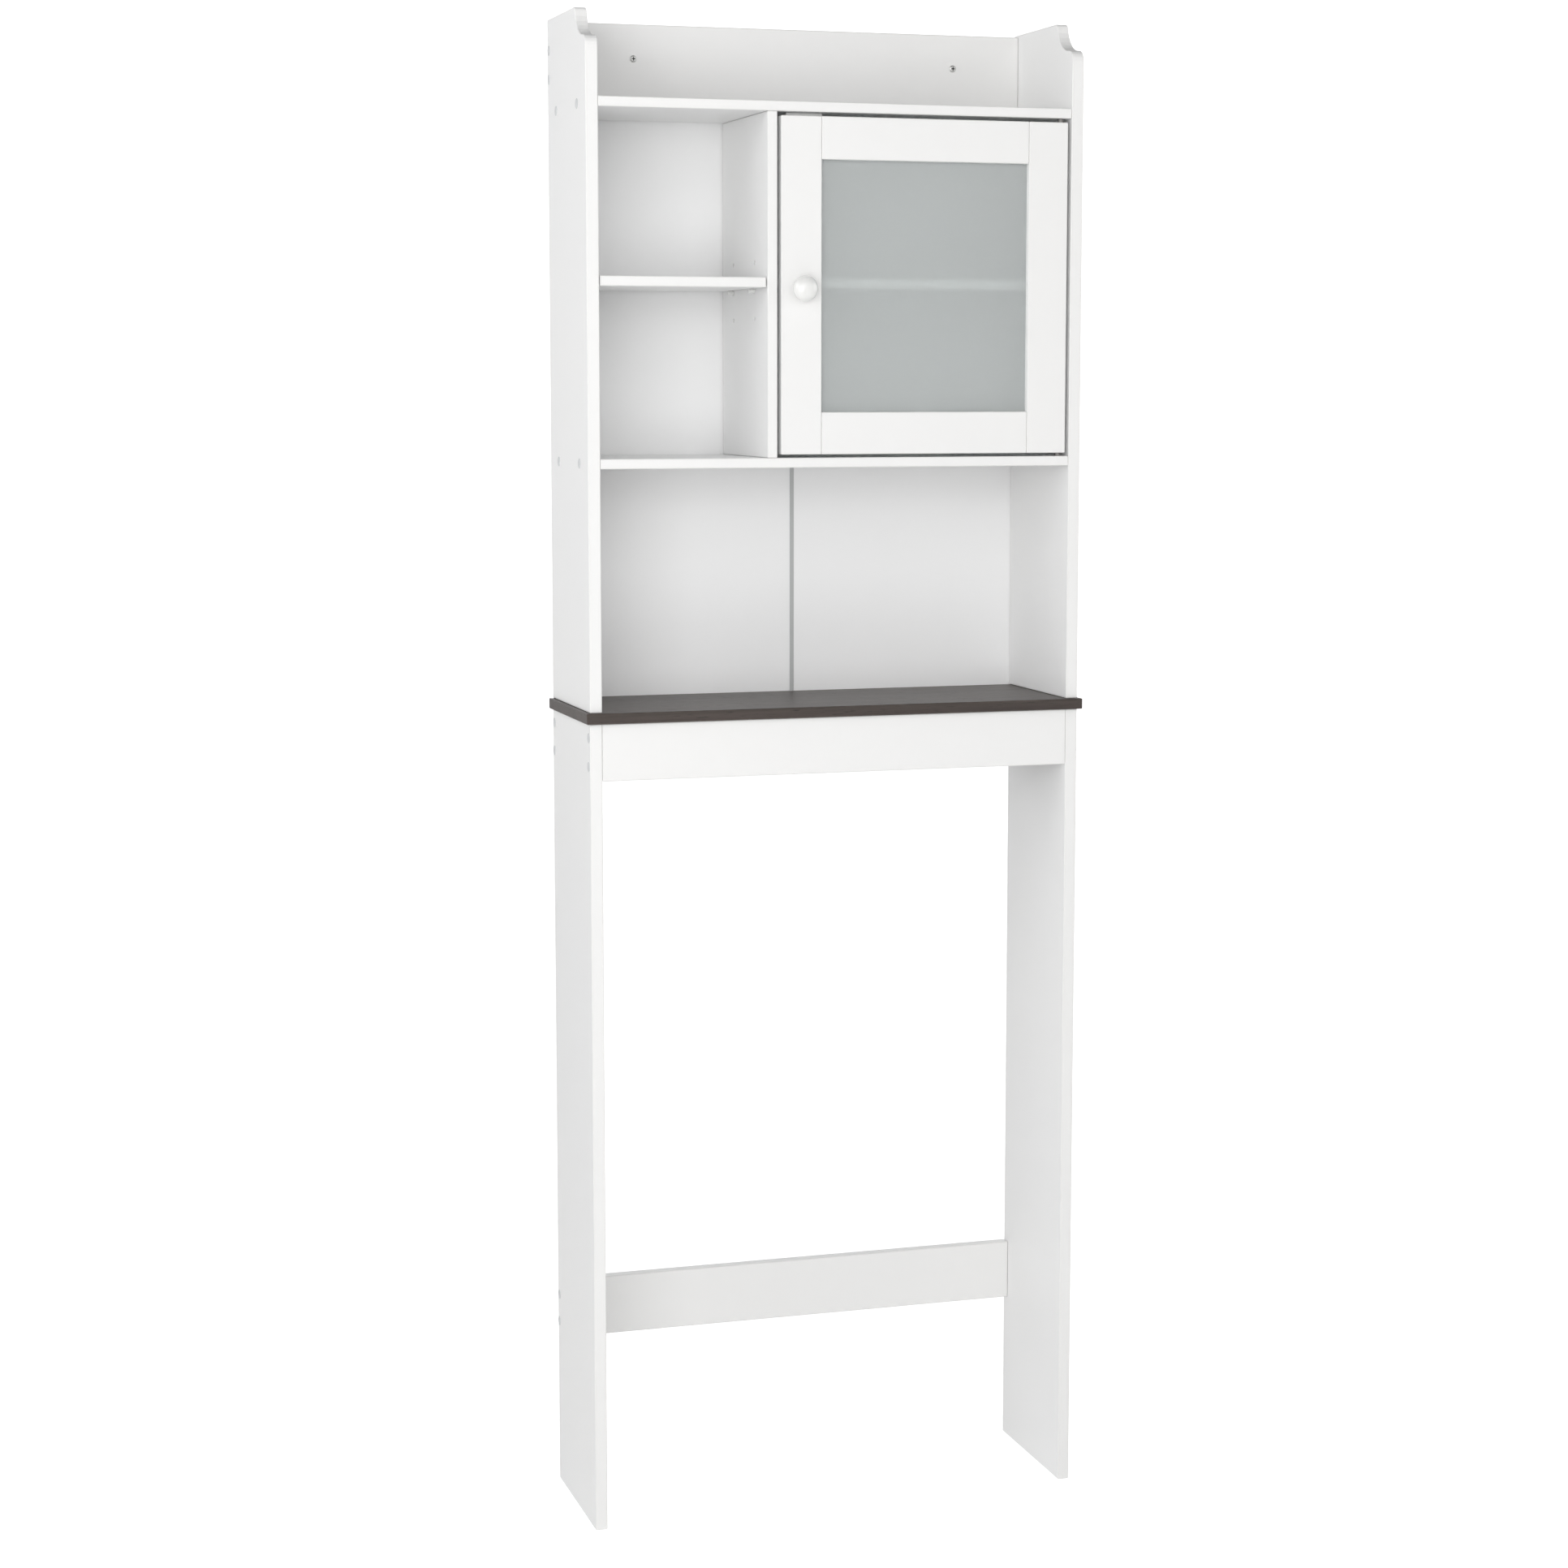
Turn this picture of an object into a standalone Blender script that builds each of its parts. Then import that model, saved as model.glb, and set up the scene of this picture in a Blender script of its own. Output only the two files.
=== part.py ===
"""Over-the-toilet storage rack: two leg panels, a dark counter board, and an upper cabinet
with open cubbies on the left and a framed, frosted glass door on the right.

Metres, +Z up, front towards -Y. The origin is on the floor, under the middle of the bounding box.
"""

import math

import bmesh
import bpy
from mathutils import Vector

# ---- driving dimensions ----
WIDTH = 0.630            # over the outer faces of the side panels
DEPTH = 0.198            # side panels, front edge to back edge
HEIGHT = 1.855           # floor to the crest of the side panels
SIDE = 0.015             # side panels, aprons, rails and door frame
SHELF = 0.012            # shelves and partition
COUNTER = 0.013          # counter board
BACK_SHEET = 0.003       # hardboard back panels
CLEAR = 0.0003           # glue line or fit between pieces that touch
EDGE = 0.0008            # eased edge of a painted board

COUNTER_UNDERSIDE = 1.005
COUNTER_SIDE_OVERHANG = 0.005
COUNTER_FRONT_OVERHANG = 0.006
APRON_HEIGHT = 0.070
STRETCHER_BOTTOM = 0.1915
STRETCHER_HEIGHT = 0.076
MIDDLE_SHELF_TOP = 1.322
TOP_SHELF_TOP = 1.7475
TOP_RAIL_TOP = 1.852
LOOSE_SHELF_BOTTOM = 1.5265
PARTITION_LEFT = -0.0915

COVE_RADIUS = 0.040      # hollow scooped out of each upper side's front corner
COVE_DROP = 0.036        # crest down to the hollow's lowest point
SHOULDER_RADIUS = 0.013
CREST_RADIUS = 0.006
ARC_STEPS = 8

DOOR_GAP_RIGHT = 0.005
DOOR_GAP_LEFT = 0.005
DOOR_GAP_BOTTOM = 0.004
DOOR_GAP_TOP = 0.005
FRAME_MEMBER = 0.051     # width of the door's stiles and rails
GLASS = 0.004
REBATE = 0.006           # width of the step that the glass lies in
FRONT_LIP = 0.008        # frame thickness left in front of the glass
BEAD = 0.0051
PIVOT_INSET = 0.0075     # door's hinge axis in from its edge and its front face
PIVOT_RADIUS = 0.0025
COLLAR_RADIUS = 0.0036   # pin's shoulder, which carries the door at the bottom
BUSH_RADIUS = 0.005
BUSH_LENGTH = 0.011

KNOB_REACH = 0.026
KNOB_RADIUS = 0.0155
KNOB_HEIGHT = 1.525

STRIP_FLANGE = 0.0008    # joining strip between the two back panels
STRIP_FRONT_WIDTH = 0.005
STRIP_BACK_WIDTH = 0.010
STRIP_WEB = 0.0012

PIN_RADIUS = 0.0025      # shelf pins
PIN_DEPTH = 0.0052
PIN_REACH = 0.008
PIN_PITCH = 0.034
PIN_ROWS = (-1, 0, 1)

SCREW_HEAD_RADIUS = 0.006
SCREW_HEAD = 0.003
SCREW_PROUD = 0.0006
SCREW_SHANK_RADIUS = 0.0025
SCREW_LENGTH = 0.045
SCREW_SPREAD = 0.0175    # each pair of screws, from the middle of its rail
SHELF_SCREW_INSET = 0.045

DOWEL_RADIUS = 0.004
DOWEL_GRIP = 0.017       # length of a dowel in each panel
DOWEL_INSET = 0.040

ROUND_STEPS = 12         # facets round a small turned piece
FINE_STEPS = 32          # facets round the knob

# ---- places worked out from the driving dimensions ----
HALF = WIDTH / 2
INNER = HALF - SIDE
BACK_STACK = CLEAR + BACK_SHEET + CLEAR + STRIP_FLANGE
FRONT = -(DEPTH + BACK_STACK - KNOB_REACH) / 2
BACK = FRONT + DEPTH
COUNTER_TOP = COUNTER_UNDERSIDE + COUNTER
PARTITION_RIGHT = PARTITION_LEFT + SHELF
SHELF_BACK = BACK - STRIP_FLANGE - 0.0007
TOP_SHELF_BOTTOM = TOP_SHELF_TOP - SHELF
DOOR_LEFT = PARTITION_RIGHT + DOOR_GAP_LEFT
DOOR_RIGHT = INNER - DOOR_GAP_RIGHT
DOOR_BOTTOM = MIDDLE_SHELF_TOP + DOOR_GAP_BOTTOM
DOOR_TOP = TOP_SHELF_BOTTOM - DOOR_GAP_TOP
DOOR_BACK = FRONT + SIDE
OPENING_LEFT = DOOR_LEFT + FRAME_MEMBER
OPENING_RIGHT = DOOR_RIGHT - FRAME_MEMBER
OPENING_BOTTOM = DOOR_BOTTOM + FRAME_MEMBER
OPENING_TOP = DOOR_TOP - FRAME_MEMBER
PIVOT = Vector((DOOR_RIGHT - PIVOT_INSET, FRONT + PIVOT_INSET, 0.0))
KNOB_X = DOOR_LEFT + FRAME_MEMBER / 2
PIN_HEIGHT = LOOSE_SHELF_BOTTOM - CLEAR - PIN_RADIUS
PIN_Y = (FRONT + 0.056, BACK - 0.050)


# ---- materials ----
def material(name, colour, roughness, metallic=0.0):
    made = bpy.data.materials.new(name)
    made.use_nodes = True
    shader = made.node_tree.nodes["Principled BSDF"]
    shader.inputs["Base Color"].default_value = (*colour, 1.0)
    shader.inputs["Roughness"].default_value = roughness
    shader.inputs["Metallic"].default_value = metallic
    return made


def make_materials():
    return {
        "white_paint": material("white_paint", (0.84, 0.84, 0.83), 0.45),
        "dark_wood": material("dark_wood", (0.075, 0.058, 0.052), 0.5),
        "hardboard": material("hardboard", (0.80, 0.80, 0.79), 0.6),
        "frosted_glass": material("frosted_glass", (0.48, 0.54, 0.52), 0.6),
        "white_plastic": material("white_plastic", (0.82, 0.82, 0.81), 0.4),
        "glazed_white": material("glazed_white", (0.85, 0.85, 0.83), 0.25),
        "beech": material("beech", (0.55, 0.40, 0.24), 0.7),
        "zinc_steel": material("zinc_steel", (0.60, 0.60, 0.58), 0.35, 1.0),
    }


# ---- modelling helpers ----
def add_object(name, bm, finish, place=(0.0, 0.0, 0.0)):
    bmesh.ops.recalc_face_normals(bm, faces=bm.faces)
    mesh = bpy.data.meshes.new(name)
    bm.to_mesh(mesh)
    bm.free()
    piece = bpy.data.objects.new(name, mesh)
    bpy.context.collection.objects.link(piece)
    piece.location = place
    if finish:
        mesh.materials.append(finish)
    return piece


def ease_edges(piece, width=EDGE):
    bevel = piece.modifiers.new("eased_edges", "BEVEL")
    bevel.width = width
    bevel.segments = 1
    bevel.limit_method = "ANGLE"
    bevel.angle_limit = math.radians(40)


def board(name, x, y, z, finish, eased=True):
    """A flat board between the given (low, high) limits on each axis."""
    size = Vector((x[1] - x[0], y[1] - y[0], z[1] - z[0]))
    centre = Vector((x[0] + x[1], y[0] + y[1], z[0] + z[1])) / 2
    bm = bmesh.new()
    bmesh.ops.create_cube(bm, size=1.0)
    bmesh.ops.scale(bm, vec=size, verts=bm.verts)
    piece = add_object(name, bm, finish, centre)
    if eased:
        ease_edges(piece)
    return piece


def extrusion(name, outline, start, length, axis, finish):
    """A flat outline of (first, second) points pushed along axis X or Z from start."""
    bm = bmesh.new()
    if axis == "X":
        verts = [bm.verts.new((start, a, b)) for a, b in outline]
        push = Vector((length, 0.0, 0.0))
    else:
        verts = [bm.verts.new((a, b, start)) for a, b in outline]
        push = Vector((0.0, 0.0, length))
    face = bm.faces.new(verts)
    pushed = bmesh.ops.extrude_face_region(bm, geom=[face], use_keep_orig=True)
    moved = [item for item in pushed["geom"] if isinstance(item, bmesh.types.BMVert)]
    bmesh.ops.translate(bm, vec=push, verts=moved)
    return add_object(name, bm, finish)


def turned(name, profile, finish, place, turn=(0.0, 0.0, 0.0), steps=ROUND_STEPS):
    """A solid of revolution about its own +Z from (radius, height) points, both ends on the axis."""
    bm = bmesh.new()
    verts = [bm.verts.new((radius, 0.0, height)) for radius, height in profile]
    edges = [bm.edges.new(pair) for pair in zip(verts, verts[1:])]
    bmesh.ops.spin(bm, geom=verts + edges, cent=(0, 0, 0), axis=(0, 0, 1), dvec=(0, 0, 0),
                   angle=math.tau, steps=steps, use_merge=True)
    bmesh.ops.remove_doubles(bm, verts=bm.verts, dist=1e-6)
    piece = add_object(name, bm, finish, place)
    piece.rotation_euler = turn
    piece.data.shade_smooth()
    piece.data.set_sharp_from_angle(angle=math.radians(35))
    return piece


TURN = {
    "+X": (0.0, math.pi / 2, 0.0),
    "-X": (0.0, -math.pi / 2, 0.0),
    "+Y": (-math.pi / 2, 0.0, 0.0),
    "-Y": (math.pi / 2, 0.0, 0.0),
    "+Z": (0.0, 0.0, 0.0),
    "-Z": (math.pi, 0.0, 0.0),
}
WAY = {
    "+X": Vector((1, 0, 0)), "-X": Vector((-1, 0, 0)),
    "+Y": Vector((0, 1, 0)), "-Y": Vector((0, -1, 0)),
    "+Z": Vector((0, 0, 1)), "-Z": Vector((0, 0, -1)),
}


def cut(piece, cutter):
    cutter.hide_render = True
    cutter.display_type = "WIRE"
    boolean = piece.modifiers.new("cut", "BOOLEAN")
    boolean.operation = "DIFFERENCE"
    boolean.object = cutter


def drill(piece, holes):
    """Drill (mouth, way, radius, depth) holes; each drill starts 2 mm outside its mouth."""
    start = 0.002
    bm = bmesh.new()
    for mouth, way, radius, depth in holes:
        length = depth + start
        turn = WAY[way].to_track_quat("Z", "Y").to_matrix().to_4x4()
        turn.translation = Vector(mouth) + WAY[way] * (length / 2 - start)
        bmesh.ops.create_cone(bm, cap_ends=True, segments=ROUND_STEPS, radius1=radius,
                              radius2=radius, depth=length, matrix=turn)
    cut(piece, add_object(piece.name + "_drill", bm, None))


def box_cutter(name, x, y, z):
    return board(name, x, y, z, None, eased=False)


def arc(centre, radius, first, last, steps=ARC_STEPS):
    """Points on an arc from the first to the last angle, in degrees."""
    points = []
    for step in range(steps + 1):
        angle = math.radians(first + (last - first) * step / steps)
        points.append((centre[0] + radius * math.cos(angle), centre[1] + radius * math.sin(angle)))
    return points


# ---- carcass boards ----
def side_outline():
    """(Y, Z) outline of an upper side: flat crest, scooped hollow, rounded shoulder."""
    hollow_low = HEIGHT - COVE_DROP
    shoulder = (FRONT + SHOULDER_RADIUS, hollow_low - SHOULDER_RADIUS)
    cove = (FRONT + SHOULDER_RADIUS, hollow_low + COVE_RADIUS)
    reach = COVE_RADIUS + CREST_RADIUS
    tilt = math.asin((cove[1] - HEIGHT + CREST_RADIUS) / reach)
    crest = (cove[0] + reach * math.cos(tilt), HEIGHT - CREST_RADIUS)
    tilt = math.degrees(tilt)
    bottom = COUNTER_TOP + CLEAR
    outline = [(BACK, bottom), (BACK, HEIGHT)]
    outline += arc(crest, CREST_RADIUS, 90, 180 - tilt, 4)
    outline += arc(cove, COVE_RADIUS, -tilt, -90)[1:]
    outline += arc(shoulder, SHOULDER_RADIUS, 90, 180, 5)[1:]
    outline.append((FRONT, bottom))
    return outline


def shelf_screw_heights():
    return (TOP_SHELF_TOP - SHELF / 2, MIDDLE_SHELF_TOP - SHELF / 2)


def screw_places():
    """Name and (Y, Z) of the screw that CAD makes at each fixed joint of a side."""
    rail_middle = (TOP_SHELF_TOP + TOP_RAIL_TOP) / 2
    apron_middle = COUNTER_UNDERSIDE - APRON_HEIGHT / 2
    stretcher_middle = STRETCHER_BOTTOM + STRETCHER_HEIGHT / 2
    top_height, middle_height = shelf_screw_heights()
    return {
        "top_rail": (BACK - SIDE / 2, rail_middle + SCREW_SPREAD),
        "top_shelf": (FRONT + SHELF_SCREW_INSET, top_height),
        "middle_shelf": (FRONT + SHELF_SCREW_INSET, middle_height),
        "front_apron": (FRONT + SIDE / 2, apron_middle + SCREW_SPREAD),
        "rear_apron": (BACK - SIDE / 2, apron_middle + SCREW_SPREAD),
        "stretcher": (BACK - SIDE / 2, stretcher_middle + SCREW_SPREAD),
    }


UPPER_JOINTS = ("top_rail", "top_shelf", "middle_shelf")
LOWER_JOINTS = ("front_apron", "rear_apron", "stretcher")


def side_screw_holes(hand, joints):
    """Counterbored screw holes through a side; hand is -1 on the left and 1 on the right."""
    places = screw_places()
    inward = "+X" if hand < 0 else "-X"
    holes = []
    for joint in joints:
        mouth = (hand * HALF, *places[joint])
        holes.append((mouth, inward, SCREW_SHANK_RADIUS + CLEAR, SIDE + 0.002))
        holes.append((mouth, inward, SCREW_HEAD_RADIUS + CLEAR, SCREW_HEAD - SCREW_PROUD + CLEAR))
    return holes


def end_screw_holes(joint):
    """The screw's pilot hole in both ends of a board between the sides."""
    place = screw_places()[joint]
    depth = SCREW_LENGTH - SIDE + 0.002
    radius = SCREW_SHANK_RADIUS + CLEAR
    return [((-INNER, *place), "+X", radius, depth), ((INNER, *place), "-X", radius, depth)]


def pin_holes(x, way, depth):
    holes = []
    for y in PIN_Y:
        for row in PIN_ROWS:
            holes.append(((x, y, PIN_HEIGHT + row * PIN_PITCH), way, PIN_RADIUS + CLEAR, depth))
    return holes


def dowel_places(hand):
    x = hand * (HALF - SIDE / 2)
    return [(x, FRONT + DOWEL_INSET), (x, BACK - DOWEL_INSET)]


def make_leg_panel(side, hand, finish):
    x = sorted((hand * INNER, hand * HALF))
    top = COUNTER_UNDERSIDE - CLEAR
    panel = board(side + "_leg_panel", x, (FRONT, BACK), (0.0, top), finish)
    radius = DOWEL_RADIUS + CLEAR
    holes = side_screw_holes(hand, LOWER_JOINTS)
    holes += [((*place, top), "-Z", radius, DOWEL_GRIP + CLEAR) for place in dowel_places(hand)]
    drill_in_turn(panel, holes)


def make_upper_side(side, hand, finish):
    start = min(hand * INNER, hand * HALF)
    panel = extrusion(side + "_upper_side", side_outline(), start, SIDE, "X", finish)
    ease_edges(panel)
    bottom = COUNTER_TOP + CLEAR
    radius = DOWEL_RADIUS + CLEAR
    outward = "-X" if hand < 0 else "+X"
    holes = side_screw_holes(hand, UPPER_JOINTS)
    holes += [((*place, bottom), "+Z", radius, DOWEL_GRIP + CLEAR) for place in dowel_places(hand)]
    holes += pin_holes(hand * INNER, outward, PIN_DEPTH + CLEAR)
    drill_in_turn(panel, holes)


def drill_in_turn(piece, holes):
    """Drill narrow and wide holes with separate drills, because stepped holes share an axis."""
    wide = [hole for hole in holes if hole[2] > SCREW_HEAD_RADIUS]
    narrow = [hole for hole in holes if hole[2] <= SCREW_HEAD_RADIUS]
    drill(piece, narrow)
    if wide:
        drill(piece, wide)


def make_counter_board(finish):
    x = HALF + COUNTER_SIDE_OVERHANG
    counter = board("counter_board", (-x, x), (FRONT - COUNTER_FRONT_OVERHANG, BACK),
                    (COUNTER_UNDERSIDE, COUNTER_TOP), finish)
    radius = DOWEL_RADIUS + CLEAR
    places = dowel_places(-1) + dowel_places(1)
    drill(counter, [((*place, COUNTER_TOP), "-Z", radius, COUNTER + 0.002) for place in places])


def make_cross_boards(finish):
    """The boards that run from side to side; each is screwed through both sides."""
    span = (-INNER + CLEAR, INNER - CLEAR)
    apron = (COUNTER_UNDERSIDE - APRON_HEIGHT, COUNTER_UNDERSIDE - CLEAR)
    stretcher = (STRETCHER_BOTTOM, STRETCHER_BOTTOM + STRETCHER_HEIGHT)
    top_rail = (TOP_SHELF_TOP + CLEAR, TOP_RAIL_TOP)
    rear = (BACK - SIDE, BACK)
    made = {
        "front_apron": board("front_apron", span, (FRONT, FRONT + SIDE), apron, finish),
        "rear_apron": board("rear_apron", span, rear, apron, finish),
        "stretcher": board("lower_rear_stretcher", span, rear, stretcher, finish),
        "top_rail": board("top_back_rail", span, rear, top_rail, finish),
        "top_shelf": board("top_shelf", span, (FRONT, SHELF_BACK),
                           (TOP_SHELF_BOTTOM, TOP_SHELF_TOP), finish),
        "middle_shelf": board("middle_shelf", span, (FRONT, SHELF_BACK),
                              (MIDDLE_SHELF_TOP - SHELF, MIDDLE_SHELF_TOP), finish),
    }
    for joint, piece in made.items():
        holes = end_screw_holes(joint)
        if joint == "top_rail":
            holes += wall_screw_holes()
        if joint == "top_shelf":
            holes.append(pivot_hole("upper"))
        if joint == "middle_shelf":
            holes.append(pivot_hole("lower"))
        drill(piece, holes)


def make_partition(finish):
    partition = board("partition", (PARTITION_LEFT, PARTITION_RIGHT), (FRONT, SHELF_BACK),
                      (MIDDLE_SHELF_TOP + CLEAR, TOP_SHELF_BOTTOM - CLEAR), finish)
    drill(partition, pin_holes(PARTITION_LEFT, "+X", SHELF + 0.002))


def make_loose_shelves(finish):
    """The two adjustable shelves, which only rest on their pins."""
    play = 0.0016
    z = (LOOSE_SHELF_BOTTOM, LOOSE_SHELF_BOTTOM + SHELF)
    back = SHELF_BACK - play
    board("left_adjustable_shelf", (-INNER + play, PARTITION_LEFT - play),
          (FRONT + 0.002, back), z, finish)
    board("right_adjustable_shelf", (PARTITION_RIGHT + play, INNER - play),
          (DOOR_BACK + 0.008, back), z, finish)


# ---- back ----
def make_back(finish, plastic):
    """Two thin panels nailed over the back edges, joined by an H-shaped strip."""
    inner = STRIP_WEB / 2 + CLEAR
    outer = HALF - 0.002
    y = (BACK + CLEAR, BACK + CLEAR + BACK_SHEET)
    z = (COUNTER_UNDERSIDE + 0.002, TOP_SHELF_TOP - 0.0015)
    board("left_back_panel", (-outer, -inner), y, z, finish, eased=False)
    board("right_back_panel", (inner, outer), y, z, finish, eased=False)
    front = BACK - STRIP_FLANGE
    rear = BACK + BACK_STACK
    bars = (
        (STRIP_FRONT_WIDTH / 2, front, front + STRIP_FLANGE),
        (STRIP_WEB / 2, front + STRIP_FLANGE, rear - STRIP_FLANGE),
        (STRIP_BACK_WIDTH / 2, rear - STRIP_FLANGE, rear),
    )
    right_hand = [(half, y) for half, low, high in bars for y in (low, high)]
    outline = right_hand + [(-half, y) for half, y in reversed(right_hand)]
    bottom = COUNTER_TOP + CLEAR
    extrusion("back_joint_strip", outline, bottom, z[1] - bottom, "Z", plastic)


# ---- door ----
def make_door_frame(hinge_axis, finish):
    z = (DOOR_BOTTOM, DOOR_TOP)
    y = (FRONT, DOOR_BACK)
    step_y = (FRONT + FRONT_LIP, DOOR_BACK + 0.002)
    step_z = (OPENING_BOTTOM - REBATE, OPENING_TOP + REBATE)
    latch = board("door_latch_stile", (DOOR_LEFT, OPENING_LEFT), y, z, finish)
    cut(latch, box_cutter("latch_step", (OPENING_LEFT - REBATE, OPENING_LEFT + 0.002), step_y, step_z))
    knob_hole = ((KNOB_X, DOOR_BACK, KNOB_HEIGHT), "-Y", 0.002 + CLEAR, SIDE + 0.002)
    drill(latch, [knob_hole])
    hinge = board("door_hinge_stile", (OPENING_RIGHT, DOOR_RIGHT), y, z, finish)
    cut(hinge, box_cutter("hinge_step", (OPENING_RIGHT - 0.002, OPENING_RIGHT + REBATE), step_y, step_z))
    bush_hole = BUSH_RADIUS + CLEAR
    drill(hinge, [((PIVOT.x, PIVOT.y, DOOR_BOTTOM), "+Z", bush_hole, BUSH_LENGTH + CLEAR),
                  ((PIVOT.x, PIVOT.y, DOOR_TOP), "-Z", bush_hole, BUSH_LENGTH + CLEAR)])
    span = (OPENING_LEFT + CLEAR, OPENING_RIGHT - CLEAR)
    top = board("door_top_rail", span, y, (OPENING_TOP, DOOR_TOP), finish)
    cut(top, box_cutter("top_step", (OPENING_LEFT - 0.01, OPENING_RIGHT + 0.01), step_y,
                        (OPENING_TOP - 0.002, OPENING_TOP + REBATE)))
    bottom = board("door_bottom_rail", span, y, (DOOR_BOTTOM, OPENING_BOTTOM), finish)
    cut(bottom, box_cutter("bottom_step", (OPENING_LEFT - 0.01, OPENING_RIGHT + 0.01), step_y,
                           (OPENING_BOTTOM - REBATE, OPENING_BOTTOM + 0.002)))
    for piece in (latch, hinge, top, bottom):
        hang_on(hinge_axis, piece)


def make_glazing(hinge_axis, glass_finish, bead_finish):
    """Frosted pane in the frame's step, held from behind by four beads."""
    lap = REBATE - 0.0005
    x = (OPENING_LEFT - lap, OPENING_RIGHT + lap)
    z = (OPENING_BOTTOM - lap, OPENING_TOP + lap)
    pane_front = FRONT + FRONT_LIP + CLEAR
    pane = board("frosted_glass", x, (pane_front, pane_front + GLASS), z, glass_finish, eased=False)
    bead_y = (pane_front + GLASS + CLEAR, DOOR_BACK)
    inside_z = (z[0] + BEAD + CLEAR, z[1] - BEAD - CLEAR)
    beads = (
        board("glass_bead_bottom", x, bead_y, (z[0], z[0] + BEAD), bead_finish, eased=False),
        board("glass_bead_top", x, bead_y, (z[1] - BEAD, z[1]), bead_finish, eased=False),
        board("glass_bead_left", (x[0], x[0] + BEAD), bead_y, inside_z, bead_finish, eased=False),
        board("glass_bead_right", (x[1] - BEAD, x[1]), bead_y, inside_z, bead_finish, eased=False),
    )
    for piece in (pane, *beads):
        hang_on(hinge_axis, piece)


def make_knob(hinge_axis, finish, steel):
    """Mushroom knob on a machine screw that comes through the stile from behind."""
    stem = 0.0065
    reach = KNOB_REACH - CLEAR
    cap_start = 0.011
    dome = []
    for step in range(9):
        angle = math.radians(-30 + 120 * step / 8)
        height = cap_start + 0.0065 + (reach - cap_start - 0.0065) * max(math.sin(angle), -0.55)
        dome.append((KNOB_RADIUS * math.cos(angle), height))
    dome[-1] = (0.0, reach)
    hole = 0.002 + CLEAR
    hole_depth = 0.0125
    profile = [(0.0, hole_depth), (hole, hole_depth), (hole, 0.0), (0.0105, 0.0), (0.0105, 0.0012)]
    profile += [(stem, 0.0035), (stem, cap_start - 0.0035), (0.009, cap_start - 0.0005)]
    knob = turned("door_knob", profile + dome, finish, (KNOB_X, FRONT - CLEAR, KNOB_HEIGHT),
                  TURN["-Y"], FINE_STEPS)
    head = 0.0022
    length = SIDE + CLEAR + 0.0115
    screw_profile = [(0.0, -head), (0.0025, -head), (0.004, -head * 0.6), (0.004, 0.0),
                     (0.002, 0.0), (0.002, length - 0.0006), (0.0014, length), (0.0, length)]
    screw = turned("knob_screw", screw_profile, steel, (KNOB_X, DOOR_BACK + CLEAR, KNOB_HEIGHT),
                   TURN["-Y"])
    slot = box_cutter("knob_screw_slot", (KNOB_X - 0.006, KNOB_X + 0.006),
                      (DOOR_BACK + head - 0.0005, DOOR_BACK + head + 0.002),
                      (KNOB_HEIGHT - 0.0004, KNOB_HEIGHT + 0.0004))
    cut(screw, slot)
    for piece in (knob, screw):
        hang_on(hinge_axis, piece)


def pivot_hole(end):
    """Hole in the shelf that each pivot pin is pressed into."""
    face, way = (MIDDLE_SHELF_TOP, "-Z") if end == "lower" else (TOP_SHELF_BOTTOM, "+Z")
    return ((PIVOT.x, PIVOT.y, face), way, PIVOT_RADIUS + CLEAR, 0.009)


def make_pivots(hinge_axis, steel, plastic):
    """Pins in the two shelves that turn in nylon bushes let into the hinge stile's ends."""
    root = 0.0085
    ends = (
        ("lower", MIDDLE_SHELF_TOP, "+Z", DOOR_GAP_BOTTOM, DOOR_BOTTOM),
        ("upper", TOP_SHELF_BOTTOM, "-Z", DOOR_GAP_TOP, DOOR_TOP),
    )
    for end, face, way, gap, door_end in ends:
        collar = gap - CLEAR
        tip = gap + BUSH_LENGTH - 0.001
        pin = [(0.0, -root), (PIVOT_RADIUS, -root), (PIVOT_RADIUS, CLEAR), (COLLAR_RADIUS, CLEAR),
               (COLLAR_RADIUS, collar), (PIVOT_RADIUS, collar), (PIVOT_RADIUS, tip - 0.0006),
               (PIVOT_RADIUS - 0.0006, tip), (0.0, tip)]
        turned(end + "_pivot_pin", pin, steel, (PIVOT.x, PIVOT.y, face), TURN[way])
        bore = PIVOT_RADIUS + CLEAR
        floor = BUSH_LENGTH - 0.0006
        bush = [(0.0, floor), (bore, floor), (bore, 0.0), (BUSH_RADIUS, 0.0),
                (BUSH_RADIUS, BUSH_LENGTH), (0.0, BUSH_LENGTH)]
        made = turned(end + "_pivot_bush", bush, plastic, (PIVOT.x, PIVOT.y, door_end), TURN[way])
        hang_on(hinge_axis, made)


def make_catch(hinge_axis, plastic, steel):
    """Magnetic catch under the top shelf and its strike plate on the door."""
    middle = DOOR_LEFT + 0.034
    plate_front = DOOR_BACK + CLEAR
    plate_back = plate_front + 0.0012
    plate = board("strike_plate", (middle - 0.018, middle + 0.018), (plate_front, plate_back),
                  (DOOR_TOP - 0.013, DOOR_TOP - 0.001), steel, eased=False)
    hang_on(hinge_axis, plate)
    front = plate_back + CLEAR
    catch = board("magnetic_catch", (middle - 0.023, middle + 0.023), (front, front + 0.015),
                  (TOP_SHELF_BOTTOM - 0.0125, TOP_SHELF_BOTTOM - CLEAR), plastic, eased=False)
    ease_edges(catch, 0.001)


def hang_on(hinge_axis, piece):
    """Parent a door piece to the empty on the hinge axis without moving it."""
    piece.parent = hinge_axis
    piece.location = piece.location - hinge_axis.location


def make_hinge_axis():
    axis = bpy.data.objects.new("door_hinge_axis", None)
    axis.location = (PIVOT.x, PIVOT.y, DOOR_BOTTOM)
    bpy.context.collection.objects.link(axis)
    return axis


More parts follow.
